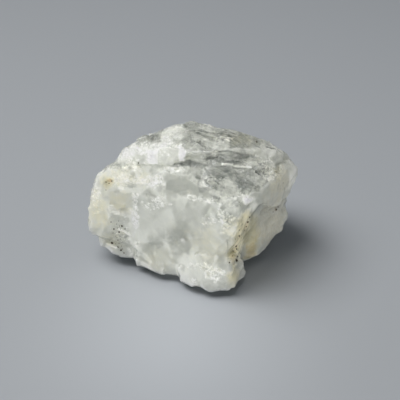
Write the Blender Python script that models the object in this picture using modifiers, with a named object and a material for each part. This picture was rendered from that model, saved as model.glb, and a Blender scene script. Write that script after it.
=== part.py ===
"""Rough petalite: one broken lump of a pale, translucent mineral, lying on a small flat spot.

Metres, +Z up. The origin is the bottom centre of the lump's box, +X runs along its length and
-Y is its broad front cleavage face. Sizes below are in millimetres.

The lump is a union of convex blocks, the pieces that the mineral cleaves into, less a few wedges
that have broken out of it. Its surface is then stepped and tilted facet by facet, as it breaks.
"""

import bmesh
import bpy
from mathutils import Matrix, Vector, noise

MM = 0.001

# How finely the broken surface is worked, and how many triangles the finished solid keeps.
VOXEL = 0.38
TRIANGLES = 9900

# The stone is cut level at this height, which leaves the flat spot that it lies on.
TABLE_LEVEL = -1.7
TABLE_SIZE = 80.0
TABLE_DEPTH = 10.0

# The pattern that the stone breaks in.
SEED = 7

# The perfect cleavage: thin plates that climb to the back and fall to the right.
PLATE_NORMAL = Vector((0.22, -0.22, 0.95))
PLATE_LENGTH = 9.0
PLATE_DEPTH = 3.6
PLATE_THICKNESS = 1.6
PLATE_STEP = 0.9

# Broken chips between them: the size of the flats, their steps and how far they lean.
CHIP_SIZE = 5.2
CHIP_STEP = 0.6
CHIP_LEAN = 0.28
CRUMB_SIZE = 2.3
CRUMB_STEP = 0.24
CRUMB_LEAN = 0.28

# Neighbouring chips draw their steps and leans from places this far apart in the noise.
STEP_SPREAD = 5.1
LEAN_SPREAD = 7.3

# Faces with less relief: the broad front, one clean cleavage, the worn right side and the base.
# A face gets the stated share of the relief where it looks that way, and blends into the rest.
CLEAN_FACES = [
    (Vector((-0.43, -0.87, 0.26)), 0.35),
    (Vector((0.77, -0.63, 0.10)), 0.5),
    (Vector((0.0, 0.0, -1.0)), 0.35),
]
CLEAN_FROM = 0.80
CLEAN_FULL = 0.92

# Look of the mineral: pale greenish grey with a glassy to dull surface.
COLOUR = (0.60, 0.62, 0.57, 1.0)
ROUGHNESS = 0.35

# Corners of each convex block. The keel is the narrow foot under the others, so that their lower
# edges stand clear of the table.
KEEL = [
    (6.6, -14.6, -2.2),
    (0.0, -12.4, -2.2),
    (-7.0, -9.0, -2.2),
    (-10.4, -5.2, -2.2),
    (-9.0, 3.0, -2.2),
    (-4.0, 10.0, -2.2),
    (6.0, 10.0, -2.2),
    (9.4, 4.0, -2.2),
    (9.2, -6.0, -2.2),
    (8.8, -12.2, -2.2),
    (7.4, -15.6, 0.4),
    (-0.4, -13.6, 0.4),
    (-8.4, -9.4, 0.4),
    (-11.6, -5.4, 0.8),
    (-10.4, 4.6, 1.6),
    (-4.8, 13.0, 3.0),
    (7.0, 13.0, 3.0),
    (10.8, 4.6, 1.6),
    (10.2, -6.4, 0.4),
    (9.8, -12.6, 0.4),
]
BODY = [
    (6.6, -16.4, 0.0),
    (-12.6, -7.5, 0.1),
    (-19.0, -4.9, 1.8),
    (-20.5, 4.0, 3.4),
    (-15.0, 14.0, 3.6),
    (-6.0, 3.0, 0.0),
    (4.0, 5.0, 0.0),
    (10.0, 0.0, 0.0),
    (-2.0, 18.0, 4.2),
    (9.0, 17.0, 4.4),
    (17.0, 11.0, 3.4),
    (18.6, 3.4, 2.6),
    (12.0, -7.4, 0.0),
    (-19.6, -2.0, 16.2),
    (-13.6, -2.9, 17.6),
    (0.8, -8.0, 20.0),
    (9.6, -12.4, 20.6),
    (13.0, -10.6, 21.0),
    (15.4, -7.0, 19.4),
    (-18.0, 2.0, 22.0),
    (-10.0, -0.8, 24.2),
    (2.8, -3.6, 24.8),
    (14.7, -1.0, 22.8),
    (-13.0, 8.5, 24.5),
    (-1.0, 12.0, 25.5),
    (14.0, 11.5, 22.0),
    (-17.0, 12.0, 14.0),
    (-2.0, 17.6, 14.0),
    (15.0, 14.0, 13.0),
]
FRONT_SLAB = [
    (7.9, -18.4, 0.0),
    (-4.6, -13.2, 0.0),
    (-13.4, -9.4, 0.0),
    (-13.7, -7.8, 2.0),
    (-13.3, -3.3, 17.2),
    (-7.6, -5.6, 18.3),
    (0.6, -9.0, 20.6),
    (6.7, -12.0, 20.6),
    (10.2, -13.5, 21.3),
    (11.0, -9.0, 0.0),
    (-9.0, -2.0, 0.0),
    (-9.0, 0.0, 15.0),
    (11.0, -7.0, 20.0),
    (13.4, -9.6, 18.6),
]
LEFT_BULGE = [
    (-25.0, -3.6, 7.6),
    (-24.8, -2.4, 11.0),
    (-23.9, -0.4, 16.0),
    (-23.1, 0.3, 18.0),
    (-20.2, -2.2, 17.6),
    (-19.6, -5.4, 9.5),
    (-20.0, -5.6, 5.2),
    (-24.2, -3.8, 4.8),
    (-23.4, 5.0, 7.0),
    (-21.8, 7.0, 17.0),
    (-14.0, 0.0, 16.0),
    (-14.0, 0.0, 8.0),
]
LEFT_SHOULDER = [
    (-23.4, 0.3, 17.6),
    (-22.2, 1.0, 19.6),
    (-20.4, 1.3, 21.0),
    (-18.8, 1.9, 22.0),
    (-17.6, 2.4, 22.7),
    (-13.0, -2.0, 23.8),
    (-11.0, -3.6, 20.4),
    (-13.6, -3.6, 17.8),
    (-19.8, -2.4, 17.4),
    (-22.0, 8.0, 17.0),
    (-16.0, 9.0, 22.0),
    (-12.0, 4.0, 14.0),
]
LEFT_WINDOW = [
    (-20.0, -5.0, 9.5),
    (-14.0, -5.5, 9.5),
    (-20.2, -2.4, 17.2),
    (-13.8, -3.1, 17.2),
    (-20.0, -5.3, 5.0),
    (-14.2, -6.7, 4.0),
    (-20.0, 2.0, 9.0),
    (-13.0, 2.0, 9.0),
    (-18.0, 2.0, 16.0),
    (-18.0, 0.0, 4.0),
]
LOW_LEFT = [
    (-22.6, -3.8, 2.4),
    (-19.2, -6.4, 1.2),
    (-14.6, -8.0, 0.5),
    (-15.0, -5.4, 8.0),
    (-21.5, -3.4, 7.0),
    (-21.0, 3.0, 3.4),
    (-12.0, 2.0, 1.2),
]
UPPER_LEFT = [
    (-17.8, 2.2, 22.0),
    (-10.0, -1.5, 24.3),
    (-1.6, -3.6, 25.2),
    (-16.6, 3.2, 25.0),
    (-13.5, 2.2, 26.4),
    (-8.0, 0.8, 27.4),
    (-2.0, -0.4, 28.2),
    (-12.8, 7.6, 25.8),
    (-9.4, 8.2, 27.4),
    (-5.4, 8.7, 28.2),
    (-1.1, 9.6, 28.8),
    (-12.0, 11.5, 20.0),
    (0.0, 14.0, 22.0),
]
UPPER_RIGHT = [
    (-1.5, -3.5, 24.8),
    (2.8, -4.4, 25.4),
    (9.0, -3.6, 24.6),
    (14.7, -1.6, 23.4),
    (20.0, 2.0, 20.9),
    (23.2, 6.0, 19.9),
    (22.3, 8.2, 22.0),
    (17.2, 8.2, 24.9),
    (9.2, 7.8, 27.1),
    (0.0, 6.0, 27.4),
    (21.0, 13.0, 15.0),
    (0.0, 14.0, 22.0),
    (0.0, -2.0, 20.0),
    (18.0, 2.0, 16.0),
]
TOP_PLATE = [
    (-2.5, -1.4, 28.0),
    (3.5, -1.0, 27.9),
    (10.0, 0.8, 26.9),
    (15.1, 3.0, 25.5),
    (13.8, 8.2, 26.2),
    (9.2, 7.4, 27.4),
    (5.2, 7.9, 28.2),
    (1.7, 8.4, 28.7),
    (-1.1, 9.5, 28.8),
    (-3.0, 4.0, 28.5),
    (-4.0, 2.0, 24.0),
    (13.0, 3.0, 22.0),
    (0.0, 13.0, 23.0),
    (13.0, 11.5, 22.0),
]
RIGHT_BULGE = [
    (23.3, 6.0, 19.7),
    (25.2, 6.2, 17.6),
    (25.2, 6.0, 14.0),
    (23.9, 4.4, 11.8),
    (23.0, 2.0, 11.5),
    (20.6, -1.3, 11.8),
    (16.8, -4.1, 14.2),
    (14.8, -8.6, 20.0),
    (14.0, -5.0, 21.8),
    (18.6, -2.4, 20.9),
    (21.2, 3.4, 20.4),
    (22.0, 12.0, 17.0),
    (21.0, 13.0, 10.0),
    (14.0, 6.0, 10.0),
    (13.0, -4.0, 20.5),
]
RIGHT_FLANK = [
    (12.3, -8.9, 0.0),
    (15.2, -7.2, 0.4),
    (17.6, -4.4, 1.2),
    (20.8, -1.6, 3.0),
    (22.8, 1.6, 6.4),
    (22.7, 3.6, 10.0),
    (18.8, 0.2, 12.0),
    (13.6, -8.4, 17.8),
    (22.2, 10.2, 9.0),
    (20.4, 10.0, 4.6),
    (12.0, 10.0, 1.0),
    (8.0, -4.0, 0.4),
    (8.0, -4.0, 16.0),
]
FOOT = [
    (8.5, -19.0, 0.0),
    (4.0, -18.8, 0.0),
    (-0.4, -17.0, 0.0),
    (-3.8, -14.8, 0.0),
    (-2.4, -13.1, 4.4),
    (2.4, -14.4, 8.6),
    (8.4, -16.8, 7.6),
    (9.1, -17.8, 4.2),
    (9.6, -18.4, 1.0),
    (3.0, -17.4, 3.0),
    (12.2, -12.4, 0.0),
    (12.1, -13.0, 3.8),
    (11.0, -11.0, 6.6),
    (0.0, -8.0, 0.0),
]
FRONT_TOE = [
    (-13.6, -9.0, 0.0),
    (-9.6, -12.0, 0.0),
    (-7.2, -13.0, 0.0),
    (-8.0, -10.0, 5.0),
    (-12.2, -8.0, 4.0),
    (-3.0, -8.0, 0.0),
]
BACK_BLOCK = [
    (-14.0, 12.0, 3.4),
    (-10.0, 18.4, 4.4),
    (4.0, 19.6, 3.8),
    (7.0, 18.6, 15.0),
    (-8.0, 15.6, 18.5),
    (-12.0, 10.0, 16.0),
    (4.0, 10.0, 5.0),
    (4.0, 10.0, 18.0),
    (9.0, 17.0, 5.0),
]
BACK_RIGHT = [
    (20.0, 9.0, 4.0),
    (21.4, 12.4, 9.0),
    (21.6, 12.4, 16.0),
    (18.0, 15.4, 13.0),
    (12.0, 17.6, 5.0),
    (9.0, 17.6, 15.0),
    (15.0, 13.4, 21.0),
    (21.0, 8.0, 20.0),
    (12.0, 8.0, 3.4),
    (10.0, 10.0, 20.0),
]
BACK_LEFT = [
    (-21.6, 3.0, 5.0),
    (-21.4, 9.6, 7.0),
    (-21.8, 8.4, 15.0),
    (-17.6, 13.0, 15.0),
    (-15.4, 14.6, 5.0),
    (-14.6, 12.0, 22.4),
    (-19.0, 6.0, 21.4),
    (-12.0, 4.0, 5.0),
    (-12.0, 6.0, 22.0),
]
BLOCKS = {
    "keel": KEEL,
    "front_slab": FRONT_SLAB,
    "left_bulge": LEFT_BULGE,
    "left_shoulder": LEFT_SHOULDER,
    "left_window": LEFT_WINDOW,
    "low_left": LOW_LEFT,
    "upper_left": UPPER_LEFT,
    "upper_right": UPPER_RIGHT,
    "top_plate": TOP_PLATE,
    "right_bulge": RIGHT_BULGE,
    "right_flank": RIGHT_FLANK,
    "foot": FOOT,
    "front_toe": FRONT_TOE,
    "back_block": BACK_BLOCK,
    "back_right": BACK_RIGHT,
    "back_left": BACK_LEFT,
}

# Corners of each wedge that has broken out.
NEAR_EDGE_CHIP = [
    (11.4, -16.0, 18.0),
    (9.0, -15.4, 12.0),
    (6.6, -17.4, 8.4),
    (13.0, -18.6, 6.8),
    (15.0, -13.0, 6.8),
    (14.4, -12.4, 18.0),
    (12.3, -9.6, 7.4),
    (10.6, -12.2, 12.0),
]
CRACK = [
    (-6.4, -5.4, 24.2),
    (4.4, -6.6, 24.4),
    (3.6, -5.8, 26.4),
    (-4.0, -4.8, 26.6),
    (-4.2, 0.6, 25.0),
    (2.8, 0.2, 25.3),
]
PLATE_SLOT = [
    (4.2, -3.4, 26.1),
    (13.4, -0.8, 24.8),
    (13.4, -0.2, 26.4),
    (5.6, -2.6, 27.6),
    (6.0, 3.0, 26.6),
    (12.6, 4.2, 25.6),
]
WEDGES = {
    "near_edge_chip": NEAR_EDGE_CHIP,
    "crack": CRACK,
    "plate_slot": PLATE_SLOT,
}


def clear_scene():
    for thing in list(bpy.data.objects):
        bpy.data.objects.remove(thing, do_unlink=True)


def new_collection(name):
    made = bpy.data.collections.new(name)
    bpy.context.scene.collection.children.link(made)
    return made


def convex_block(name, corners, home):
    """The convex block with these corners."""
    bm = bmesh.new()
    for corner in corners:
        bm.verts.new(Vector(corner) * MM)
    hull = bmesh.ops.convex_hull(bm, input=list(bm.verts))
    inner = [v for v in hull["geom_interior"] if isinstance(v, bmesh.types.BMVert)]
    bmesh.ops.delete(bm, geom=inner, context="VERTS")
    bmesh.ops.recalc_face_normals(bm, faces=list(bm.faces))
    mesh = bpy.data.meshes.new(name)
    bm.to_mesh(mesh)
    bm.free()
    made = bpy.data.objects.new(name, mesh)
    home.objects.link(made)
    return made


def combine(stone, name, corners, operation, helpers):
    """Joins a convex block to the stone, or takes it away."""
    piece = convex_block(name, corners, helpers)
    piece.hide_render = True
    piece.display_type = "WIRE"
    modifier = stone.modifiers.new(name, "BOOLEAN")
    modifier.operation = operation
    modifier.solver = "EXACT"
    modifier.object = piece


def apply_modifiers(thing):
    """Replaces the object's mesh with what its modifiers make of it."""
    graph = bpy.context.evaluated_depsgraph_get()
    made = bpy.data.meshes.new_from_object(thing.evaluated_get(graph))
    thing.modifiers.clear()
    thing.data = made


def plate_frame():
    """Turns a point into the plates' own frame: along, across and through them."""
    through = PLATE_NORMAL.normalized()
    along = Vector((1.0, 0.0, 0.0))
    along = (along - through * along.dot(through)).normalized()
    across = through.cross(along)
    return Matrix((along / PLATE_LENGTH, across / PLATE_DEPTH, through / PLATE_THICKNESS))


def chip_height(place, step, lean):
    """Height of the flat chip that a place falls in. Each chip has its own step and its own lean."""
    seed = noise.voronoi(place)[1][0]
    slope = noise.noise_vector(seed * LEAN_SPREAD)
    return step * noise.noise(seed * STEP_SPREAD) + lean * (place - seed).dot(slope)


def clean_share(normal):
    """Share of the relief that is left on a face that looks the way a clean face does."""
    left = 1.0
    for clean_normal, share in CLEAN_FACES:
        facing = (normal.dot(clean_normal) - CLEAN_FROM) / (CLEAN_FULL - CLEAN_FROM)
        left *= 1.0 - (1.0 - share) * min(1.0, max(0.0, facing))
    return left


def relief(place, normal, into_plates):
    """How far the broken surface stands out of the plain blocks at a place, in millimetres."""
    height = chip_height(place / CHIP_SIZE, CHIP_STEP, CHIP_LEAN * CHIP_SIZE)
    height += chip_height(into_plates @ place, PLATE_STEP, 0.0)
    height += chip_height(place / CRUMB_SIZE, CRUMB_STEP, CRUMB_LEAN * CRUMB_SIZE)
    return height * clean_share(normal)


def break_surface(mesh):
    into_plates = plate_frame()
    places = [vertex.co / MM for vertex in mesh.vertices]
    normals = [vertex.normal.copy() for vertex in mesh.vertices]
    for vertex, place, normal in zip(mesh.vertices, places, normals):
        vertex.co = (place + normal * relief(place, normal, into_plates)) * MM


def shell_of(first, seen):
    """The vertices that hang together with this one."""
    shell = [first]
    seen.add(first)
    for vertex in shell:
        for edge in vertex.link_edges:
            other = edge.other_vert(vertex)
            if other not in seen:
                seen.add(other)
                shell.append(other)
    return shell


def keep_outer_shell(mesh):
    """Leaves only the stone's outer surface, with no loose crumb and no closed pocket."""
    bm = bmesh.new()
    bm.from_mesh(mesh)
    seen = set()
    shells = [shell_of(vertex, seen) for vertex in bm.verts if vertex not in seen]
    shells.sort(key=len)
    for shell in shells[:-1]:
        bmesh.ops.delete(bm, geom=shell, context="VERTS")
    bm.to_mesh(mesh)
    bm.free()


def remesh(stone):
    modifier = stone.modifiers.new("remesh", "REMESH")
    modifier.mode = "VOXEL"
    modifier.voxel_size = VOXEL * MM
    apply_modifiers(stone)
    keep_outer_shell(stone.data)


def decimate(stone):
    triangles = sum(len(face.vertices) - 2 for face in stone.data.polygons)
    modifier = stone.modifiers.new("decimate", "DECIMATE")
    modifier.ratio = TRIANGLES / triangles
    apply_modifiers(stone)


def cut_level(stone, helpers):
    """Cuts the stone off level at the table."""
    side = TABLE_SIZE / 2.0
    low = TABLE_LEVEL - TABLE_DEPTH
    corners = [(x, y, z) for x in (-side, side) for y in (-side, side) for z in (low, TABLE_LEVEL)]
    combine(stone, "table", corners, "DIFFERENCE", helpers)
    apply_modifiers(stone)
    keep_outer_shell(stone.data)


def centre_on_base(mesh):
    """Moves the stone so that the origin is the bottom centre of its box."""
    spans = [[vertex.co[axis] for vertex in mesh.vertices] for axis in range(3)]
    middle = Vector([(min(span) + max(span)) / 2.0 for span in spans])
    middle.z = min(spans[2])
    mesh.transform(Matrix.Translation(-middle))


def mineral_material():
    made = bpy.data.materials.new("petalite")
    made.use_nodes = True
    shader = made.node_tree.nodes["Principled BSDF"]
    shader.inputs["Base Color"].default_value = COLOUR
    shader.inputs["Roughness"].default_value = ROUGHNESS
    shader.inputs["Metallic"].default_value = 0.0
    return made


def main():
    clear_scene()
    noise.seed_set(SEED)
    stone_home = new_collection("rough_petalite")
    helpers = new_collection("block_helpers")
    stone = convex_block("stone", BODY, stone_home)
    for name, corners in BLOCKS.items():
        combine(stone, name, corners, "UNION", helpers)
    for name, corners in WEDGES.items():
        combine(stone, name, corners, "DIFFERENCE", helpers)
    apply_modifiers(stone)
    remesh(stone)
    break_surface(stone.data)
    remesh(stone)
    decimate(stone)
    cut_level(stone, helpers)
    centre_on_base(stone.data)
    stone.data.materials.append(mineral_material())


if __name__ == "__main__":
    main()
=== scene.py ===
"""Looks of the rough petalite: a milky, partly see-through lump with crushed white places,
cloudy veils, yellow stains and dark grains, lying on a plain pale floor in soft light.

Lengths are in millimetres, turned into metres with MM, except in the settings of the light and
the floor, which are in metres.
"""

import math

import bmesh
import bpy
import numpy as np
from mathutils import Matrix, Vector, noise
from mathutils.bvhtree import BVHTree
from mathutils.kdtree import KDTree


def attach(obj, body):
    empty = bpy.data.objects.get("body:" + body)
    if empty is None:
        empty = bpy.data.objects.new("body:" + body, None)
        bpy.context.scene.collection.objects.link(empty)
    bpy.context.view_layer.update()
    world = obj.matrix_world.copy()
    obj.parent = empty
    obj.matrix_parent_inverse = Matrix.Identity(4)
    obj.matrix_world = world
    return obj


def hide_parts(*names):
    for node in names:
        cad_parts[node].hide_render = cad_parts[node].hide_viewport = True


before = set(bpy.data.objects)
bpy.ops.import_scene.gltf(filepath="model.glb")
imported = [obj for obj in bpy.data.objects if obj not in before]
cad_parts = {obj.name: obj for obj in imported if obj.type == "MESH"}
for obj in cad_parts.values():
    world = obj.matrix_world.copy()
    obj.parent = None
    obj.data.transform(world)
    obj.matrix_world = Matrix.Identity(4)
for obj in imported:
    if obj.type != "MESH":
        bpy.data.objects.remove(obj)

MM = 0.001
SEED = 11

# The photograph's frame and camera.
PHOTO_PIXELS = 400
PHOTO_MIDDLE = PHOTO_PIXELS / 2.0
LENS_MM = 100.0
SENSOR_MM = 36.0
CLIP_START_M = 0.01
FRAME_WIDTH = 96.0
PIXEL = FRAME_WIDTH / PHOTO_PIXELS
ELEVATION = math.radians(38.0)
LOOK_AT = Vector((1.67, 0.22, 13.7))
DISTANCE = FRAME_WIDTH * LENS_MM / SENSOR_MM
CAMERA_UP = Vector((0.0, math.sin(ELEVATION), math.cos(ELEVATION)))
CAMERA_BACK = Vector((0.0, -math.cos(ELEVATION), math.sin(ELEVATION)))

# The light: places, targets and sizes in metres, powers in watts and angles in degrees.
KEY_PLACE = (-0.32, 0.10, 0.63)
KEY_TARGET = (0.02, -0.09, 0.0)
KEY_SIZE = 0.56
KEY_POWER = 0.835
KEY_SPREAD = 70.0
KEY_COLOUR = (1.0, 0.99, 0.97)
# The fills light only the stone: name, place, size, power and colour.
FILLS = [
    ("sparkle", (-0.20, 0.04, 0.68), 0.13, 0.44, (1.0, 0.99, 0.97)),
    ("front_fill", (-0.10, -0.60, 0.22), 0.30, 1.80, (1.0, 0.99, 0.98)),
    ("right_fill", (0.42, -0.24, 0.05), 0.10, 0.48, (1.0, 0.965, 0.915)),
]
FILL_TARGET = (0.0, 0.0, 0.01)
FILL_SPREAD = 180.0
GLOW_PLACE = (-0.003, -0.05, 0.5)
GLOW_TARGET = (-0.004, -0.033, 0.0)
GLOW_POWER = 1.9
GLOW_ANGLE = 7.0
GLOW_SIZE = 0.02
SKY_COLOUR = (0.90, 0.95, 1.0, 1.0)
SKY_STRENGTH = 0.11

# The floor.
FLOOR_HALF_WIDTH_M = 3.0
FLOOR_COLOUR = (0.550, 0.580, 0.618, 1.0)
FLOOR_ROUGHNESS = 0.6
FLOOR_SHINE = 0.2

# The fine mesh: the size of its cells, and how it is softened.
VOXEL = 0.28
SMOOTH_ROUNDS = 3
SMOOTH_SHARE = 0.5
# Points lower than this lie on the floor and stay there.
TOUCHING = 0.12

# Facets: their size, how much thinner they are through the plates, how far they lean, how far
# they step in or out, and the most that a point moves.
BROAD_FACETS = {"size": 9.0, "squeeze": 1.0, "lean": 0.05, "step": 0.15, "most": 0.35}
LARGE_FACETS = {"size": 4.6, "squeeze": 1.7, "lean": 0.22, "step": 0.45, "most": 0.60}
MIDDLE_FACETS = {"size": 2.2, "squeeze": 1.7, "lean": 0.30, "step": 0.30, "most": 0.40}
SMALL_FACETS = {"size": 1.0, "squeeze": 1.2, "lean": 0.45, "step": 0.35, "most": 0.30}

# The cleavage plates climb to the back and fall to the right.
PLATE_NORMAL = Vector((0.22, -0.22, 0.95)).normalized()
# The second cleavage leaves fine lines on the top and on the right side.
SECOND_NORMAL = Vector((-0.35, -0.93, -0.13)).normalized()

# Normals of the broad front face, of the right side and of the left side, as on the solid.
FRONT_NORMAL = Vector((-0.43, -0.87, 0.26)).normalized()
RIGHT_NORMAL = Vector((0.77, -0.63, 0.10)).normalized()
LEFT_NORMAL = Vector((-0.75, -0.60, 0.20)).normalized()
DOWN = Vector((0.0, 0.0, -1.0))
# How far behind the middle the part that the photograph hides begins, and is full.
HIDDEN_START, HIDDEN_FULL = 6.0, 12.0

# Tones go from 0, clear and dark, to 1, white. Each of these is a plain tone and how much the
# cloudy veils change it.
REST_TONE = (0.56, 0.10)
RIGHT_TONE = (0.50, 0.08)
FRONT_TONE = (0.54, 0.05)
LEFT_TONE = (0.74, 0.06)
# How much whiter the hidden part is: partly its milky colour, partly painted light that lifts the
# back, which the fills don't reach.
HIDDEN_WHITER = 0.12

# The outline of the upper left corner in pixels of the photograph: the shoulder, the end of the
# block above it and the small knob on the block. What the solid has above it is cut off.
CORNER_OUTLINE = [
    (98, 174.5), (101.5, 170.5), (105, 167), (109, 165), (116.5, 163), (118.5, 160), (121.5, 152),
    (125, 149), (130, 145.5), (136.5, 142), (138, 138), (140, 135.5), (144, 134.2), (148, 136.5),
    (149.5, 133),
]

# Places on the stone are given by pixels of the photograph: a ray from the camera finds the
# point of the surface, and a radius is that many pixels' length there.
# Places with a tone of their own: (across, down, radius across, radius down, tone).
TONES = {
    "upper_left_block": (150, 150, 40, 22, 0.74),
    "block_left": (121, 156, 10, 9, 0.86),
    "block_rim": (130, 151, 9, 6, 0.88),
    "behind_rim": (140, 143, 10, 4, 0.56),
    "near_summit": (171, 138, 18, 13, 0.69),
    "summit": (193, 127, 10, 6, 0.46),
    "summit_clear": (190, 132, 9, 8, 0.52),
    "summit_right": (202, 134, 10, 6, 0.20),
    "shoulder": (122, 178, 30, 13, 0.76),
    "shoulder_smooth": (145, 174, 12, 9, 0.80),
    "left_step": (152, 184, 12, 9, 0.82),
    "under_crack": (162, 170, 18, 5, 0.72),
    "left_bulge": (98, 208, 14, 32, 0.72),
    "speckled_foot": (118, 230, 12, 20, 0.56),
    "front_left": (145, 215, 14, 30, 0.66),
    "front_left_edge": (133, 226, 6, 32, 0.82),
    "cloud_left": (155, 244, 9, 9, 0.50),
    "cloud_middle": (177, 235, 14, 14, 0.46),
    "light_upper": (164, 222, 11, 10, 0.68),
    "front_middle": (192, 214, 15, 9, 0.58),
    "front_right": (208, 243, 18, 18, 0.66),
    "low_middle": (163, 256, 9, 8, 0.62),
    "front_patch": (231, 217, 11, 11, 0.44),
    "foot": (212, 275, 26, 13, 0.69),
    "slope_right": (247, 183, 14, 12, 0.42),
    "slope": (232, 174, 34, 12, 0.45),
    "top": (222, 138, 34, 11, 0.42),
    "near_corner": (249, 200, 9, 5, 1.0),
    "corner_blue": (228, 202, 9, 5, 0.48),
    "top_light": (212, 143, 10, 6, 0.50),
    "top_olive": (242, 140, 24, 9, 0.45),
    "right_block": (269, 150, 18, 9, 0.72),
    "right_sparkle": (266, 171, 13, 9, 0.38),
    "bulge_top": (264, 184, 8, 8, 0.42),
    "slope_far": (253, 168, 7, 6, 0.30),
    "step_edge": (139, 188, 8, 6, 0.84),
    "green_band": (213, 164, 8, 4, 0.34),
    "lip_glow": (234, 163, 9, 3, 0.52),
    "shoulder_middle": (133, 175, 6, 6, 0.60),
    "bulge_crest": (273, 164, 6, 5, 0.62),
    "corner_side": (254, 206, 6, 6, 0.85),
    "beside_spur": (194, 155, 9, 7, 0.68),
    "facet_low": (212, 194, 7, 4, 0.46),
    "patch_low": (217, 227, 10, 6, 0.72),
    "right_bulge": (278, 187, 15, 19, 0.56),
    # A painted rim light: the right bulge's edge is whiter where light comes through it.
    "bulge_painted_rim_light": (292, 178, 9, 20, 0.76),
    # Painted light: a near-white tone lifts the bevel where the front turns into the right side, as
    # if it were lit.
    "flank_near_painted_light": (246, 222, 8, 16, 0.96),
    "flank": (274, 228, 18, 20, 0.56),
    # Painted light: a near-white tone on the bevel right of the front face makes it look lit.
    "strip": (237, 243, 9, 22, 0.92),
}
# Flat facets and clear patches with crisp borders: corners and tone. Those with a tone below
# CLEAR_BELOW have no crumbs.
CLEAR_BELOW = 0.7
PATCHES = {
    "facet_grey": ([
        (168, 181), (180, 176), (198, 175), (214, 180), (219, 191), (204, 196), (180, 194),
        (167, 189),
    ], 0.48),
    "facet_blue": ([
        (219, 183), (230, 179), (239, 189), (236, 198), (221, 198), (216, 193),
    ], 0.62),
    "corner_face": ([(220, 198), (237, 197), (239, 209), (222, 211)], 0.44),
    "facet_right": ([(196, 177), (212, 181), (214, 191), (199, 192)], 0.38),
    "window": ([(110, 192), (131, 190), (133, 207), (112, 209)], 0.64),
    "band_grey": ([
        (209, 154), (236, 152), (256, 156), (258, 162), (232, 163), (212, 162),
    ], 0.40),
    # Dark below the plate's edge: partly clear stone, partly painted shade under the plate.
    "under_band_clear_and_shade": ([(204, 167), (229, 167), (232, 176), (216, 179), (205, 174)], 0.34),
    # Painted shade: the gap under the upper slab's overhanging edge is darkened.
    "crack_lens_painted_shade": ([
        (171, 166), (180, 162), (188, 160.5), (198, 162.5), (209, 165), (204, 168.5), (190, 167),
        (180, 166.5),
    ], 0.37),
    "slope_smooth": ([(238, 169), (253, 170), (255, 187), (243, 191), (235, 181)], 0.41),
    "olive": ([(228, 134), (240, 131), (248, 140), (243, 149), (230, 147)], 0.39),
    "block_cloud": ([(169, 149), (178, 148), (179, 157), (170, 158)], 0.66),
    "block_spur": ([(180, 147), (185, 149), (184, 161), (179, 160)], 0.96),
    "block_streak": ([(147, 151), (158, 151), (158, 164), (149, 164)], 0.98),
    "block_top": ([(158, 138), (169, 136), (172, 144), (160, 147)], 0.88),
    "behind_knob": ([(149, 136), (160, 133), (160, 141), (150, 145)], 0.52),
    "slot_white": ([(212, 152), (219, 152), (218, 157), (212, 157)], 0.62),
    "step_clear": ([(136, 168), (150, 168), (151, 180), (138, 181)], 0.76),
    "step_face": ([(118, 187), (141, 186), (140, 192), (119, 193)], 0.82),
    "shoulder_white": ([(121, 173), (130, 174), (129, 183), (120, 183)], 0.84),
    "tan_left": ([(229, 238), (237, 234), (237, 262), (230, 265)], 0.58),
    "bulge_face": ([(276, 165), (286, 164), (288, 187), (279, 189)], 0.60),
}
# Crushed, sparkling places: (across, down, radius across, radius down, strength).
CRUMBS = {
    "upper_left_block": (146, 148, 32, 17, 0.5),
    "block_right_edge": (181, 152, 5, 10, 0.9),
    "under_crack": (178, 170, 18, 4, 0.7),
    "shoulder": (126, 181, 22, 9, 0.5),
    "left_step": (154, 183, 9, 8, 0.9),
    "slab_left_edge": (135, 210, 4, 26, 0.7),
    "slab_top_left": (156, 204, 16, 6, 0.55),
    "slab_top_middle": (192, 197, 9, 3, 0.75),
    "slab_top_right": (210, 201, 12, 3, 0.6),
    "near_corner": (249, 200, 9, 6, 0.9),
    "corner_drip": (240, 195, 6, 3, 0.6),
    "front_patch": (223, 218, 11, 12, 0.78),
    "patch_tail": (208, 219, 14, 8, 0.4),
    "foot_arc": (213, 272, 12, 8, 0.9),
    "foot_left": (194, 280, 6, 4, 0.9),
    "foot_upper": (200, 265, 14, 5, 0.5),
    "top_sparkle": (227, 140, 6, 4, 0.9),
    "slot_end": (215, 154, 5, 4, 0.8),
    "slope_texture": (218, 174, 16, 8, 0.55),
    "right_sparkle": (268, 170, 18, 11, 0.6),
    "left_edge": (96, 196, 6, 18, 0.6),
    "bottom_left": (120, 238, 12, 18, 0.30),
}
# Yellow stains: (across, down, radius across, radius down, strength).
WARM = {
    "left_bulge": (98, 212, 17, 30, 0.38),
    "shoulder_stain": (107, 182, 10, 8, 0.72),
    "window": (120, 202, 16, 16, 0.36),
    "left_foot": (112, 240, 18, 16, 0.34),
    "front_low_left": (156, 260, 30, 18, 0.20),
    "front_right": (208, 245, 34, 30, 0.22),
    "strip": (238, 243, 9, 24, 0.62),
    "flank_stain": (252, 244, 11, 20, 0.80),
    "flank": (272, 224, 26, 34, 0.24),
    "right_bulge": (279, 185, 18, 24, 0.30),
    "top": (238, 138, 30, 10, 0.26),
    "foot_side": (234, 276, 8, 15, 0.60),
    "shoulder": (122, 178, 34, 16, 0.27),
    "right_spot": (276, 171, 5, 4, 0.55),
}
# The flat tan place right of the front face: corners and strength.
TAN = [(229, 240), (234, 220), (246, 211), (257, 214), (259, 240), (247, 263), (230, 265)]
TAN_STRENGTH = 0.62
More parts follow.
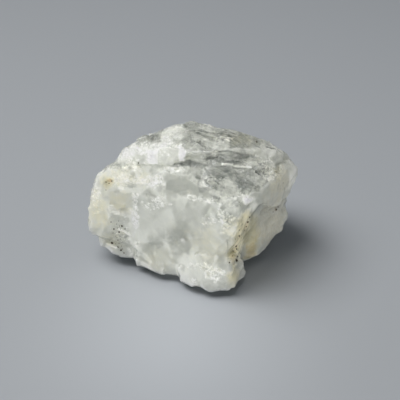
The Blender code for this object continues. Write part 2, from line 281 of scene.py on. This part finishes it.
# Brown stains: (across, down, radius across, radius down, strength).
RUST = {
    "shoulder_ring": (109, 181, 5, 3, 0.45),
    "strip_upper": (245, 228, 3, 9, 0.30),
    "strip_middle": (236, 244, 4, 10, 0.24),
    "strip_lower": (233, 258, 6, 7, 0.30),
    "flank_low": (251, 248, 9, 11, 0.36),
    "bulge_spot": (276, 210, 4, 3, 0.65),
    "flank_faint": (263, 240, 4, 9, 0.30),
    "flank_beige": (270, 218, 34, 40, 0.25),
    "bulge_beige": (282, 184, 14, 22, 0.22),
}
# Places with fine lines of the second cleavage, in the same form.
LINED = {
    "top": (226, 138, 34, 13, 1.0),
    "top_near_slot": (238, 147, 26, 8, 0.6),
    "slope": (222, 174, 22, 10, 0.6),
    "right_strip": (238, 245, 9, 24, 0.9),
    "flank": (268, 226, 26, 24, 0.25),
}
# Places where thin plates show their edges, in the same form.
LAYERED = {
    "slot_band": (226, 158, 44, 9, 0.7),
    "crack_band": (150, 166, 50, 5, 0.6),
    "summit": (196, 138, 16, 10, 0.4),
    "low_left": (118, 236, 14, 16, 0.5),
}
# Cracks and ledges: points, half width in pixels, height (below 0 in a crack) and tone.
STROKES = {
    "crack": ([(118, 163), (130, 165), (150, 165), (172, 166)], 0.7, -0.10, 0.66),
    "knob": ([(140, 139), (146, 138)], 4.0, 0.60, 0.44),
    # Painted shade in the gap under the plate's front edge.
    "crack_right_painted_shade": ([(205, 165.5), (216, 166.5), (226, 165.5)], 0.8, -0.12, 0.36),
    # Painted shade: the slots under the higher plate's front edge are darkened.
    "slot": ([(219, 152), (227, 151), (236, 153), (243, 155)], 1.1, -0.15, 0.34),
    "slot_left": ([(207, 158), (218, 157)], 0.9, -0.12, 0.34),
    # A painted highlight along the plate's front edge.
    "plate_lip_painted_highlight": ([(223, 163.5), (236, 165), (251, 166.5)], 1.1, 0.12, 0.80),
    "ledge": ([(119, 229), (124, 231), (130, 235)], 0.9, 0.20, 0.92),
    "low_ledge": ([(107, 244), (116, 248)], 0.8, 0.12, 0.88),
    "scratch": ([(208, 175), (214, 180), (219, 184)], 0.6, -0.15, 0.34),
    "pit": ([(257, 172), (259, 174)], 2.0, -0.50, 0.22),
    "slit": ([(268, 146), (272, 148), (276, 148)], 0.9, -0.30, 0.34),
    "top_line_a": ([(200, 127), (216, 133), (232, 139)], 0.5, 0.06, 0.66),
    "top_line_b": ([(196, 131), (210, 136), (224, 142)], 0.5, 0.06, 0.66),
    "top_line_c": ([(214, 128), (225, 132), (237, 136)], 0.5, 0.06, 0.62),
    "strip_line": ([(227, 240), (228, 250), (228, 264)], 0.6, -0.06, 0.46),
}
# Dark grains: (across, down, radius in pixels).
GRAINS = [
    (249.5, 217, 0.9), (247.5, 222, 1.1), (246, 226.5, 0.7), (244.5, 230, 0.5), (239, 230, 0.6),
    (239, 236, 0.9), (236, 246, 1.1), (236.5, 249, 0.7), (236.5, 260.5, 1.5), (237.5, 256.5, 0.8),
    (233, 251, 0.5), (229.5, 262.5, 0.8), (244, 262, 0.6), (112, 243, 1.3), (114, 229, 0.8),
    (119, 232, 0.9), (122, 226, 0.9), (120, 236, 0.5), (118, 240, 0.6), (116, 236, 0.5),
    (121, 250, 1.0), (118, 247, 0.8), (124, 253, 0.7), (111, 222, 0.6), (113, 233, 0.5),
    (125, 229, 0.6), (256.5, 142, 1.0), (106, 182, 0.6), (109, 183.5, 0.6), (112, 181, 0.6),
    (138.5, 163, 0.7), (276, 209.5, 1.1), (283, 183, 0.5), (106, 190, 0.5), (118.5, 221, 0.4),
    (119.5, 226, 0.45), (120.5, 229, 0.4), (117.5, 228, 0.4), (118, 234, 0.45), (120.5, 239, 0.4),
    (119, 243.5, 0.45), (121.5, 246, 0.4), (117, 237.5, 0.4), (122.5, 249, 0.45), (115.5, 244, 0.4),
    (116.5, 224, 0.4), (122, 242, 0.4), (234, 245, 0.45), (232.5, 256, 0.45), (239.5, 252, 0.4),
    (241, 238, 0.4), (242.5, 224, 0.4), (235.5, 239, 0.4), (273, 212, 0.6), (278, 207, 0.6),
]


def pixel_ray(across, down):
    """Start and direction of the camera's ray through a pixel of the photograph."""
    start = LOOK_AT + CAMERA_BACK * DISTANCE
    right = (across - PHOTO_MIDDLE) * PIXEL
    up = (PHOTO_MIDDLE - down) * PIXEL
    aim = LOOK_AT + Vector((right, 0.0, 0.0)) + CAMERA_UP * up
    return start, (aim - start).normalized()


def pixels_of(points):
    """Where the photograph shows the points: pixels across and down."""
    offset = points - np.array(LOOK_AT)
    scale = DISTANCE / (DISTANCE - offset @ np.array(CAMERA_BACK)) / PIXEL
    across = PHOTO_MIDDLE + offset[:, 0] * scale
    down = PHOTO_MIDDLE - offset @ np.array(CAMERA_UP) * scale
    return across, down


def add_camera():
    """The camera at the photograph's angle, with the photograph's frame."""
    data = bpy.data.cameras.new("camera")
    data.lens = LENS_MM
    data.sensor_width = SENSOR_MM
    data.clip_start = CLIP_START_M
    camera = bpy.data.objects.new("camera", data)
    bpy.context.scene.collection.objects.link(camera)
    start, aim = pixel_ray(PHOTO_MIDDLE, PHOTO_MIDDLE)
    camera.location = start * MM
    camera.rotation_euler = aim.to_track_quat("-Z", "Y").to_euler()
    bpy.context.scene.camera = camera


def put_lamp(lamp, place, target):
    """Puts the lamp into the scene at this place and turns it to the target."""
    bpy.context.scene.collection.objects.link(lamp)
    lamp.location = Vector(place)
    lamp.rotation_euler = (Vector(target) - Vector(place)).to_track_quat("-Z", "Y").to_euler()


def add_area_light(name, place, target, size, power, colour, spread):
    data = bpy.data.lights.new(name, "AREA")
    data.size = size
    data.energy = power
    data.color = colour
    data.spread = math.radians(spread)
    lamp = bpy.data.objects.new(name, data)
    put_lamp(lamp, place, target)
    return lamp


def add_floor_glow():
    """The stone passes light on to the floor before it: a soft pool of light from above."""
    data = bpy.data.lights.new("floor_glow", "SPOT")
    data.energy = GLOW_POWER
    data.spot_size = math.radians(GLOW_ANGLE)
    data.spot_blend = 1.0
    data.shadow_soft_size = GLOW_SIZE
    put_lamp(bpy.data.objects.new("floor_glow", data), GLOW_PLACE, GLOW_TARGET)


def add_sky():
    """A weak pale light from all sides."""
    world = bpy.data.worlds.new("studio")
    world.use_nodes = True
    background = world.node_tree.nodes["Background"]
    background.inputs["Color"].default_value = SKY_COLOUR
    background.inputs["Strength"].default_value = SKY_STRENGTH
    bpy.context.scene.world = world


def add_light(pieces):
    """A high soft key from the left and behind, and weak fills that light only the stone."""
    add_area_light("key", KEY_PLACE, KEY_TARGET, KEY_SIZE, KEY_POWER, KEY_COLOUR, KEY_SPREAD)
    lit = bpy.data.collections.new("lit_by_fills")
    for piece in pieces:
        lit.objects.link(piece)
    for name, place, size, power, colour in FILLS:
        fill = add_area_light(name, place, FILL_TARGET, size, power, colour, FILL_SPREAD)
        fill.light_linking.receiver_collection = lit
    add_floor_glow()
    add_sky()
    bpy.context.scene.view_settings.view_transform = "Standard"


def floor_material():
    made = bpy.data.materials.new("floor")
    made.use_nodes = True
    shader = made.node_tree.nodes["Principled BSDF"]
    shader.inputs["Base Color"].default_value = FLOOR_COLOUR
    shader.inputs["Roughness"].default_value = FLOOR_ROUGHNESS
    shader.inputs["Specular IOR Level"].default_value = FLOOR_SHINE
    return made


def add_floor():
    bm = bmesh.new()
    bmesh.ops.create_grid(bm, x_segments=1, y_segments=1, size=FLOOR_HALF_WIDTH_M)
    mesh = bpy.data.meshes.new("floor")
    bm.to_mesh(mesh)
    bm.free()
    mesh.materials.append(floor_material())
    floor = bpy.data.objects.new("floor", mesh)
    bpy.context.scene.collection.objects.link(floor)


def applied(thing):
    """Replaces the object's mesh with what its modifiers make of it."""
    graph = bpy.context.evaluated_depsgraph_get()
    made = bpy.data.meshes.new_from_object(thing.evaluated_get(graph))
    thing.modifiers.clear()
    thing.data = made


def surface_object():
    """The solid's own surface as a fine, even and slightly softened mesh."""
    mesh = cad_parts["stone"].data.copy()
    mesh.materials.clear()
    stone = bpy.data.objects.new("petalite_lump", mesh)
    bpy.context.scene.collection.objects.link(stone)
    remesh = stone.modifiers.new("even", "REMESH")
    remesh.mode = "VOXEL"
    remesh.voxel_size = VOXEL * MM
    smooth = stone.modifiers.new("soften", "SMOOTH")
    smooth.iterations = SMOOTH_ROUNDS
    smooth.factor = SMOOTH_SHARE
    applied(stone)
    return stone


def smooth_step(value, low, high):
    """0 up to the low value, 1 from the high value on, and soft between them."""
    t = np.clip((value - low) / (high - low), 0.0, 1.0)
    return t * t * (3.0 - 2.0 * t)


def fractal(points, size, octaves=3, shift=0.0):
    """Soft noise from about -1 to 1 at each point."""
    away = Vector((shift, shift * 0.7, -shift))
    return np.array([noise.fractal((Vector(p) + away) / size, 0.6, 2.0, octaves) for p in points])


def blended(values, target, share):
    """The values, moved towards the target by this share of the way."""
    return values + (target - values) * share


def grouped_mean(values, group):
    """The mean of the values in each group, back at each of its members."""
    count = np.bincount(group)
    sums = [np.bincount(group, weights=column) / count for column in values.T]
    return np.stack(sums, axis=1)[group]


def cells(points, size, squeeze):
    """Each point's irregular cell and three chance numbers of that cell.

    The cells are thinner through the plates than along them, by the factor squeeze.
    """
    plate = np.array(PLATE_NORMAL)
    placed = (points + np.outer(points @ plate, plate) * (squeeze - 1.0)) / size
    found = {}
    cell = np.empty(len(points), dtype=int)
    for i, place in enumerate(placed):
        place = Vector(place)
        seed = noise.voronoi(place + noise.noise_vector(place * 0.9) * 0.3)[1][0]
        cell[i] = found.setdefault(tuple(round(c, 3) for c in seed), len(found))
    chance = np.array([noise.noise_vector(Vector(seed) * 7.3) for seed in found])
    return cell, chance[cell]


def facets(points, normals, size, squeeze, lean, step, most):
    """Moves that break the surface into flat facets, and a chance number for each facet."""
    cell, chance = cells(points, size, squeeze)
    facing = grouped_mean(normals, cell) + chance * lean
    facing /= np.linalg.norm(facing, axis=1)[:, None]
    height = ((points - grouped_mean(points, cell)) * facing).sum(axis=1)
    move = np.clip(step * chance[:, 0] - height, -most, most)
    return facing * move[:, None], chance[:, 1]


class Surface:
    """The stone's points in millimetres, and the places that the photograph's pixels fall on."""

    def __init__(self, mesh):
        self.mesh = mesh
        edges = np.empty(len(mesh.edges) * 2, dtype=int)
        mesh.edges.foreach_get("vertices", edges)
        self.edges = edges.reshape(-1, 2)
        self.read()
        corners = [Vector(p) for p in self.points]
        self.tree = BVHTree.FromPolygons(corners, [tuple(f.vertices) for f in mesh.polygons])

    def read(self):
        """Reads the points and their normals from the mesh."""
        count = len(self.mesh.vertices)
        points = np.empty(count * 3)
        self.mesh.vertices.foreach_get("co", points)
        self.points = points.reshape(-1, 3) / MM
        normals = np.empty(count * 3)
        self.mesh.vertices.foreach_get("normal", normals)
        self.normals = normals.reshape(-1, 3)

    def write(self, points):
        """Moves the mesh's points here."""
        self.mesh.vertices.foreach_set("co", (points * MM).ravel())
        self.mesh.update()
        self.read()

    def around(self, values):
        """The mean of the values at each point's neighbours."""
        total = np.zeros_like(values)
        number = np.zeros(len(values))
        for near, far in ((0, 1), (1, 0)):
            np.add.at(total, self.edges[:, near], values[self.edges[:, far]])
            np.add.at(number, self.edges[:, near], 1.0)
        return (total.T / number).T

    def standing_out(self):
        """How far each point stands out of its neighbours: above 0 on edges, below in cracks."""
        out = ((self.points - self.around(self.points)) * self.normals).sum(axis=1)
        return self.around(out)

    def under(self, across, down):
        """The point of the surface that the photograph's pixel falls on, or None."""
        start, aim = pixel_ray(across, down)
        return self.tree.ray_cast(start, aim)[0]

    def near(self, across, down, wide, high, wander, soft=0.5):
        """1 in the middle of an oval place and 0 outside, with a border that wanders."""
        centre = self.under(across, down)
        if centre is None:
            return np.zeros(len(self.points))
        offset = self.points - np.array(centre)
        x = offset[:, 0] / (wide * PIXEL)
        y = offset @ np.array(CAMERA_UP) / (high * PIXEL)
        z = offset @ np.array(CAMERA_BACK) / (max(wide, high) * PIXEL * 1.3)
        far = np.sqrt(x * x + y * y + z * z) + wander
        return 1.0 - smooth_step(far, 1.0 - soft, 1.0 + soft * 0.4)

    def patch(self, corners, wander, soft=0.2):
        """1 inside a flat place with these corners and 0 outside it, across a border this soft."""
        found = [self.under(*corner) for corner in corners]
        spots = np.array([spot for spot in found if spot is not None])
        # The plane that lies closest to the corners.
        centre = spots.mean(axis=0)
        axes = np.linalg.svd(spots - centre)[2]
        x, y, depth = ((self.points - centre) @ axes.T).T
        ring = (spots - centre) @ axes[:2].T
        inside = np.zeros(len(x), dtype=bool)
        border = np.full(len(x), np.inf)
        for (x0, y0), (x1, y1) in zip(ring, np.roll(ring, -1, axis=0)):
            wide, high = x1 - x0, y1 - y0
            t = ((x - x0) * wide + (y - y0) * high) / (wide * wide + high * high)
            t = np.clip(t, 0.0, 1.0)
            border = np.minimum(border, np.hypot(x - x0 - t * wide, y - y0 - t * high))
            inside ^= ((y0 > y) != (y1 > y)) & (x < x0 + wide * (y - y0) / (high + 1e-9))
        out = np.where(inside, -border, border) + wander * 0.8
        off_plane = smooth_step(np.abs(depth), 2.5, 3.5)
        return (1.0 - smooth_step(out, -soft, soft)) * (1.0 - off_plane)

    def strongest(self, places, wander, soft=0.5):
        """The strength of the places at each point: the strongest where places meet."""
        total = np.zeros(len(self.points))
        for across, down, wide, high, strength in places.values():
            share = self.near(across, down, wide, high, wander, soft)
            total = np.maximum(total, strength * share)
        return total

    def along(self, route, half_width):
        """1 on a line through these pixels and 0 at its sides."""
        spots = []
        for (x0, y0), (x1, y1) in zip(route, route[1:]):
            steps = max(2, int(math.hypot(x1 - x0, y1 - y0)))
            for i in range(steps + 1):
                t = i / steps
                spot = self.under(x0 + (x1 - x0) * t, y0 + (y1 - y0) * t)
                if spot is not None:
                    spots.append(spot)
        tree = KDTree(len(spots))
        for i, spot in enumerate(spots):
            tree.insert(spot, i)
        tree.balance()
        away = np.array([tree.find(Vector(p))[2] for p in self.points])
        return 1.0 - smooth_step(away, half_width * PIXEL * 0.4, half_width * PIXEL + 0.15)

    def facing(self, direction, start, full):
        """1 where the surface looks in this direction and 0 where it looks away."""
        return smooth_step(self.normals @ np.array(direction), start, full)


def cut_corner(surface):
    """Cuts off what stands above the outline of the upper left corner."""
    across, down = pixels_of(surface.points)
    outline = np.array(CORNER_OUTLINE)
    limit = np.interp(across, outline[:, 0], outline[:, 1], -PHOTO_PIXELS, -PHOTO_PIXELS)
    excess = np.maximum(limit - down, 0.0) * PIXEL
    surface.write(surface.points - np.outer(excess, CAMERA_UP))


def paint(surface):
    """What the surface looks like: for each name, one number a point."""
    points = surface.points
    wander = fractal(points, 2.6, 4) * 0.5
    veils = fractal(points, 8.0, 4, 30.0)
    front = surface.facing(FRONT_NORMAL, 0.78, 0.93)
    right = surface.facing(RIGHT_NORMAL, 0.55, 0.80)
    left = surface.facing(LEFT_NORMAL, 0.85, 0.95)
    hidden = smooth_step(points[:, 1], HIDDEN_START, HIDDEN_FULL)
    plain, cloudy = REST_TONE
    # The hidden part is whiter, partly painted light on the back.
    tone = plain + HIDDEN_WHITER * hidden + cloudy * veils
    for share, (plain, cloudy) in ((right, RIGHT_TONE), (front, FRONT_TONE), (left, LEFT_TONE)):
        tone = blended(tone, plain + cloudy * veils, share)
    for across, down, wide, high, value in TONES.values():
        share = surface.near(across, down, wide, high, wander, 0.8)
        tone = blended(tone, value, share)
    clear = np.zeros(len(points))
    for corners, value in PATCHES.values():
        share = surface.patch(corners, wander)
        tone = blended(tone, value, share)
        clear = np.maximum(clear, share * (value < CLEAR_BELOW))
    crumbs = surface.strongest(CRUMBS, wander * 1.3)
    crumbs = np.maximum(crumbs, hidden * smooth_step(veils, 0.10, 0.45) * 0.6) * (1.0 - clear)
    warm = surface.strongest(WARM, wander * 0.6, 0.9)
    stains = smooth_step(fractal(points, 9.0, 3, 60.0), 0.1, 0.6)
    warm = np.maximum(warm, hidden * stains * 0.6)
    warm = np.maximum(warm, surface.patch(TAN, wander * 0.5, 1.4) * TAN_STRENGTH)
    rust = surface.strongest(RUST, wander)
    lines = np.zeros(len(points))
    for route, half_width, height, value in STROKES.values():
        share = surface.along(route, half_width)
        lines += share * height
        tone = blended(tone, value, share)
        crumbs *= 1.0 - share
    lined = np.maximum(surface.strongest(LINED, wander, 0.9), hidden * (1.0 - crumbs) * 0.3)
    layered = surface.strongest(LAYERED, wander, 0.9)
    layered = np.maximum(layered, hidden * (1.0 - crumbs) * 0.2)
    return {
        "tone": tone, "crumbs": crumbs, "warm": warm, "rust": rust, "lines": lines,
        "lined": lined, "layered": layered, "clean": np.maximum(front, right),
    }


def break_up(surface, looks):
    """Breaks the surface into flat facets and crumbs, and cuts the cracks and ledges."""
    normals = surface.normals
    clean = looks["clean"]
    crumbs = looks["crumbs"]
    rough = (1.0 - clean) * (1.0 - surface.facing(DOWN, 0.5, 0.9))
    broken = rough * (1.0 - 0.7 * looks["lined"])
    points = surface.points.copy()
    touching = points[:, 2] < TOUCHING
    kinds = (
        (BROAD_FACETS, 0.15 * clean),
        (LARGE_FACETS, 0.85 * rough),
        (MIDDLE_FACETS, 0.5 * np.maximum(rough, crumbs * 0.5)),
        (SMALL_FACETS, 0.75 * np.maximum(crumbs, broken * 0.4)),
    )
    chances = []
    for kind, strength in kinds:
        move, chance = facets(points, normals, **kind)
        points += move * strength[:, None]
        chances.append(chance)
    broad, large, middle, small = chances
    points += normals * (looks["lines"] + fractal(points, 1.6, 2, 20.0) * 0.012)[:, None]
    points[:, 2] = np.maximum(points[:, 2], 0.0)
    points[touching, 2] = 0.0
    surface.write(points)
    looks["broken"] = broken
    # Each facet has a tone of its own; edges are painted whiter as a highlight and cracks painted
    # darker as shade.
    looks["tone"] = looks["tone"] + (
        broad * 0.05 * clean + large * 0.06 * rough
        + middle * 0.07 * rough + small * 0.08 * crumbs
        + np.clip(surface.standing_out() * 1.6, -0.14, 0.20)
    )


def store(mesh, name, values):
    """Keeps one number a point on the mesh, for the material to read."""
    layer = mesh.attributes.new(name, "FLOAT", "POINT")
    layer.data.foreach_set("value", np.asarray(values, dtype=np.float32))


# The Mix node has sockets of one name for each kind of data; these are the colour ones.
MIX_COLOUR_A, MIX_COLOUR_B = 6, 7
MIX_COLOUR_RESULT = 2


class Shader:
    """Short names for the nodes that the stone's materials are made of."""

    def __init__(self, material):
        self.tree = material.node_tree
        self.place = self.tree.nodes.new("ShaderNodeTexCoord").outputs["Object"]

    def put(self, socket, value):
        """Sets the socket to a value, or links it to another node's output."""
        if isinstance(value, bpy.types.NodeSocket):
            self.tree.links.new(value, socket)
        elif isinstance(value, tuple) and len(value) == 3 and socket.type == "RGBA":
            socket.default_value = (*value, 1.0)
        else:
            socket.default_value = value

    def attribute(self, name):
        node = self.tree.nodes.new("ShaderNodeAttribute")
        node.attribute_name = name
        return node.outputs["Fac"]

    def squeezed(self, place, squeeze, through=PLATE_NORMAL):
        """The place, for a texture thinner along one direction by the factor squeeze."""
        mapping = self.tree.nodes.new("ShaderNodeMapping")
        mapping.vector_type = "TEXTURE"
        turn = Vector((0.0, 0.0, 1.0)).rotation_difference(through)
        self.put(mapping.inputs["Vector"], place)
        self.put(mapping.inputs["Rotation"], turn.to_euler())
        self.put(mapping.inputs["Scale"], (1.0, 1.0, 1.0 / squeeze))
        return mapping.outputs["Vector"]

    def cloud(self, size, detail, rough=0.6, squeeze=1.0, through=PLATE_NORMAL, warp=0.0):
        """Noise of this size, thinner along one direction by the factor squeeze."""
        node = self.tree.nodes.new("ShaderNodeTexNoise")
        self.put(node.inputs["Vector"], self.squeezed(self.place, squeeze, through))
        self.put(node.inputs["Scale"], 1.0 / (size * MM))
        self.put(node.inputs["Detail"], detail)
        self.put(node.inputs["Roughness"], rough)
        self.put(node.inputs["Distortion"], warp)
        return node.outputs["Fac"]

    def bands(self, size, squeeze, through=PLATE_NORMAL):
        """Thin bands across one direction."""
        cloud = self.cloud(size, 3.0, 0.6, squeeze, through)
        return self.remap(cloud, 0.44, 0.58, -0.4, 0.6)

    def bent(self, size, warp, squeeze):
        """The place, bent a little, for a texture thinner through the plates."""
        bend = self.tree.nodes.new("ShaderNodeTexNoise")
        self.put(bend.inputs["Vector"], self.place)
        self.put(bend.inputs["Scale"], 0.8 / (size * MM))
        amount = (warp * size * MM,) * 3
        place = self.vector("MULTIPLY_ADD", bend.outputs["Color"], amount, self.place)
        return self.squeezed(place, squeeze)

    def voronoi(self, size, warp, squeeze, feature, distance="EUCLIDEAN"):
        node = self.tree.nodes.new("ShaderNodeTexVoronoi")
        node.feature = feature
        node.distance = distance
        self.put(node.inputs["Vector"], self.bent(size, warp, squeeze))
        self.put(node.inputs["Scale"], 1.0 / (size * MM))
        return node

    def flakes(self, size, warp=0.5, squeeze=1.5):
        """A chance colour for each small angular flake."""
        return self.voronoi(size, warp, squeeze, "F1", "MANHATTAN").outputs["Color"]

    def web(self, size, width, warp=0.5, squeeze=1.5):
        """1 on the borders between small irregular flakes and 0 inside them."""
        node = self.voronoi(size, warp, squeeze, "DISTANCE_TO_EDGE")
        return self.remap(node.outputs["Distance"], 0.0, width, 1.0, 0.0)

    def dots(self, size, radius, share):
        """1 on small spots, as many as the share says of one to each cell."""
        node = self.voronoi(size, 0.3, 1.0, "F1")
        chosen = self.chosen(self.red(node.outputs["Color"]), share)
        spots = self.remap(node.outputs["Distance"], radius * 0.4, radius, 1.0, 0.0)
        return self.times(spots, chosen)

    def chosen(self, chance, share):
        """1 for this share of the chances from 0 to 1, and 0 for the others."""
        return self.remap(self.sum((chance, 1.0), (share, 1.0)), 0.99, 1.03)

    def number(self, operation, *values):
        """One step of arithmetic with numbers."""
        node = self.tree.nodes.new("ShaderNodeMath")
        node.operation = operation
        for socket, value in zip(node.inputs, values):
            self.put(socket, value)
        return node.outputs[0]

    def vector(self, operation, *values):
        """One step of arithmetic with places or directions."""
        node = self.tree.nodes.new("ShaderNodeVectorMath")
        node.operation = operation
        for socket, value in zip(node.inputs, values):
            self.put(socket, value)
        return node.outputs[0]

    def scaled(self, vector, factor):
        node = self.tree.nodes.new("ShaderNodeVectorMath")
        node.operation = "SCALE"
        self.put(node.inputs[0], vector)
        self.put(node.inputs["Scale"], factor)
        return node.outputs[0]

    def red(self, colour):
        node = self.tree.nodes.new("ShaderNodeSeparateColor")
        self.put(node.inputs["Color"], colour)
        return node.outputs["Red"]

    def times(self, a, b):
        return self.number("MULTIPLY", a, b)

    def sum(self, *terms):
        """Adds up (value, factor) pairs."""
        total = 0.0
        for value, factor in terms:
            total = self.number("MULTIPLY_ADD", value, factor, total)
        return total

    def remap(self, value, low, high, to_low=0.0, to_high=1.0):
        """The value's range from low to high, turned softly into another range."""
        node = self.tree.nodes.new("ShaderNodeMapRange")
        node.interpolation_type = "SMOOTHSTEP"
        self.put(node.inputs["Value"], value)
        self.put(node.inputs["From Min"], low)
        self.put(node.inputs["From Max"], high)
        self.put(node.inputs["To Min"], to_low)
        self.put(node.inputs["To Max"], to_high)
        return node.outputs["Result"]

    def mix(self, factor, a, b, blend="MIX"):
        node = self.tree.nodes.new("ShaderNodeMix")
        node.data_type = "RGBA"
        node.blend_type = blend
        self.put(node.inputs["Factor"], factor)
        self.put(node.inputs[MIX_COLOUR_A], a)
        self.put(node.inputs[MIX_COLOUR_B], b)
        return node.outputs[MIX_COLOUR_RESULT]

    def ramp(self, value, stops):
        node = self.tree.nodes.new("ShaderNodeValToRGB")
        self.put(node.inputs["Fac"], value)
        points = node.color_ramp.elements
        while len(points) < len(stops):
            points.new(0.5)
        for point, (position, colour) in zip(points, stops):
            point.position = position
            point.color = (*colour, 1.0)
        return node.outputs["Color"]


# The stone's colour at each tone.
TONE_COLOURS = [
    (0.00, (0.16, 0.175, 0.16)),
    (0.25, (0.36, 0.385, 0.36)),
    (0.50, (0.625, 0.643, 0.59)),
    (0.75, (0.83, 0.845, 0.79)),
    (1.00, (0.97, 0.975, 0.95)),
]
# What the stains multiply the stone's colour by.
YELLOW = (1.0, 0.92, 0.68)
BROWN = (0.62, 0.42, 0.24)
# Petalite's index of refraction, and how far light spreads under the surface: the distance and
# its share for red, green and blue.
PETALITE_IOR = 1.51
SCATTER = 4.5
SCATTER_SHARES = (1.0, 1.0, 0.95)
BUMP_HEIGHT = 0.15


def petalite_material():
    """Milky stone, partly see-through where it is clear and white where it is crushed."""
    made = bpy.data.materials.new("petalite")
    made.use_nodes = True
    shader = made.node_tree.nodes["Principled BSDF"]
    s = Shader(made)
    tone, crumbs, warm, rust = (s.attribute(name) for name in ("tone", "crumbs", "warm", "rust"))
    lined, layered, broken = (s.attribute(name) for name in ("lined", "layered", "broken"))
    veil = s.cloud(5.0, 3.0, 0.5, 1.3, PLATE_NORMAL, 0.6)
    fine = s.cloud(1.1, 3.0, 0.55, 1.6, PLATE_NORMAL, 0.4)
    grain = s.cloud(0.45, 3.0, 0.7)
    plates = s.bands(1.9, 8.0)
    lines = s.bands(3.2, 11.0, SECOND_NORMAL)
    blocks = s.red(s.flakes(2.8, 0.5, 2.2))
    chips = s.flakes(1.1)
    crystals = s.flakes(0.5)
    chance = s.sum((s.red(chips), 1.0), (s.red(crystals), 1.0), (1.0, -1.0))
    flake_edges = s.times(s.web(1.1, 0.20), s.remap(s.cloud(1.4, 2.0), 0.48, 0.53))
    small_edges = s.times(s.web(0.6, 0.30), s.remap(s.cloud(0.9, 2.0), 0.50, 0.55))

    crushed = s.remap(s.sum((crumbs, 1.0), (fine, 0.9), (1.0, -0.45)), 0.15, 0.70)
    bright_flakes = s.chosen(s.red(crystals), s.times(crushed, 0.40))
    glints = s.dots(0.60, 0.27, s.times(crushed, 0.26))
    glitter = s.sum((flake_edges, 0.18), (small_edges, 0.06), (s.red(chips), 0.14), (1.0, -0.07))
    mottled = s.sum((blocks, 2.2), (chance, 1.2), (1.0, -1.1))

    # The level is the stored tone with all the fine detail, and it picks the colour.
    level = s.sum((tone, 1.0), (veil, 0.11), (fine, 0.06), (1.0, -0.105))
    level = s.sum((level, 1.0), (s.times(broken, mottled), 0.08))
    level = s.sum((level, 1.0), (s.times(lined, lines), 0.15), (s.times(layered, plates), 0.15))
    level = s.sum((level, 1.0), (s.times(crushed, glitter), 1.0))
    level = s.sum((level, 1.0), (bright_flakes, 0.17), (glints, 0.40))
    colour = s.ramp(level, TONE_COLOURS)
    yellow_here = s.remap(s.sum((warm, 1.0), (fine, 0.5), (veil, 0.3)), 0.35, 1.3)
    colour = s.mix(yellow_here, colour, s.mix(1.0, colour, YELLOW, "MULTIPLY"))
    brown_here = s.remap(s.sum((rust, 1.0), (grain, 0.6)), 0.4, 1.2)
    colour = s.mix(brown_here, colour, s.mix(1.0, colour, BROWN, "MULTIPLY"))
    s.put(shader.inputs["Base Color"], colour)

    roughness = s.remap(s.sum((fine, 0.5), (veil, 0.5)), 0.35, 0.65, 0.08, 0.26)
    s.put(shader.inputs["Roughness"], roughness)
    s.put(shader.inputs["IOR"], PETALITE_IOR)
    s.put(shader.inputs["Subsurface Weight"], 1.0)
    s.put(shader.inputs["Subsurface Radius"], SCATTER_SHARES)
    s.put(shader.inputs["Subsurface Scale"], SCATTER * MM)
    s.put(shader.inputs["Transmission Weight"], s.remap(level, 0.15, 0.8, 0.40, 0.03))

    # Each flake tilts its shading a little, most in the crushed places.
    tilt = s.vector("SUBTRACT", s.mix(0.5, chips, crystals), (0.5, 0.5, 0.5))
    tilt = s.scaled(tilt, s.sum((crushed, 0.50), (broken, 0.14), (1.0, 0.03)))
    normal = s.tree.nodes.new("ShaderNodeNewGeometry").outputs["Normal"]
    normal = s.vector("NORMALIZE", s.vector("ADD", normal, tilt))
    bump = s.tree.nodes.new("ShaderNodeBump")
    height = s.sum((fine, 0.5), (grain, 0.2), (flake_edges, 0.6), (small_edges, 0.4))
    s.put(bump.inputs["Distance"], BUMP_HEIGHT * MM)
    s.put(bump.inputs["Strength"], s.remap(crushed, 0.0, 1.0, 0.05, 0.4))
    s.put(bump.inputs["Height"], height)
    s.put(bump.inputs["Normal"], normal)
    s.put(shader.inputs["Normal"], bump.outputs["Normal"])
    return made


def add_stone():
    """The lump, which stands for the solid."""
    stone = surface_object()
    cut_corner(Surface(stone.data))
    # Read again, because places are found on the surface as it is after the cut.
    surface = Surface(stone.data)
    looks = paint(surface)
    break_up(surface, looks)
    for name in ("tone", "crumbs", "warm", "rust", "lined", "layered", "broken"):
        store(stone.data, name, looks[name])
    stone.data.materials.append(petalite_material())
    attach(stone, "root")
    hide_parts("stone")
    return stone


def grain_material():
    made = bpy.data.materials.new("dark_grain")
    made.use_nodes = True
    shader = made.node_tree.nodes["Principled BSDF"]
    s = Shader(made)
    stops = [(0.3, (0.015, 0.013, 0.010)), (0.7, (0.10, 0.075, 0.045))]
    s.put(shader.inputs["Base Color"], s.ramp(s.cloud(0.3, 3.0), stops))
    s.put(shader.inputs["Roughness"], 0.5)
    return made


def add_grains(stone):
    """Small dark grains set into the surface."""
    surface = Surface(stone.data)
    bm = bmesh.new()
    for number, (across, down, radius) in enumerate(GRAINS):
        spot = surface.under(across, down)
        if spot is None:
            continue
        made = bmesh.ops.create_icosphere(bm, subdivisions=2, radius=1.0)
        for vertex in made["verts"]:
            bumps = 1.0 + 0.5 * noise.noise(vertex.co * 1.3 + Vector((number * 3.7, 0.0, 0.0)))
            vertex.co = (spot + vertex.co * bumps * radius * PIXEL) * MM
    mesh = bpy.data.meshes.new("dark_grains")
    bm.to_mesh(mesh)
    bm.free()
    mesh.materials.append(grain_material())
    grains = bpy.data.objects.new("dark_grains", mesh)
    bpy.context.scene.collection.objects.link(grains)
    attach(grains, "root")
    return grains


def main():
    noise.seed_set(SEED)
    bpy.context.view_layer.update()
    add_camera()
    add_floor()
    stone = add_stone()
    grains = add_grains(stone)
    add_light([stone, grains])


main()
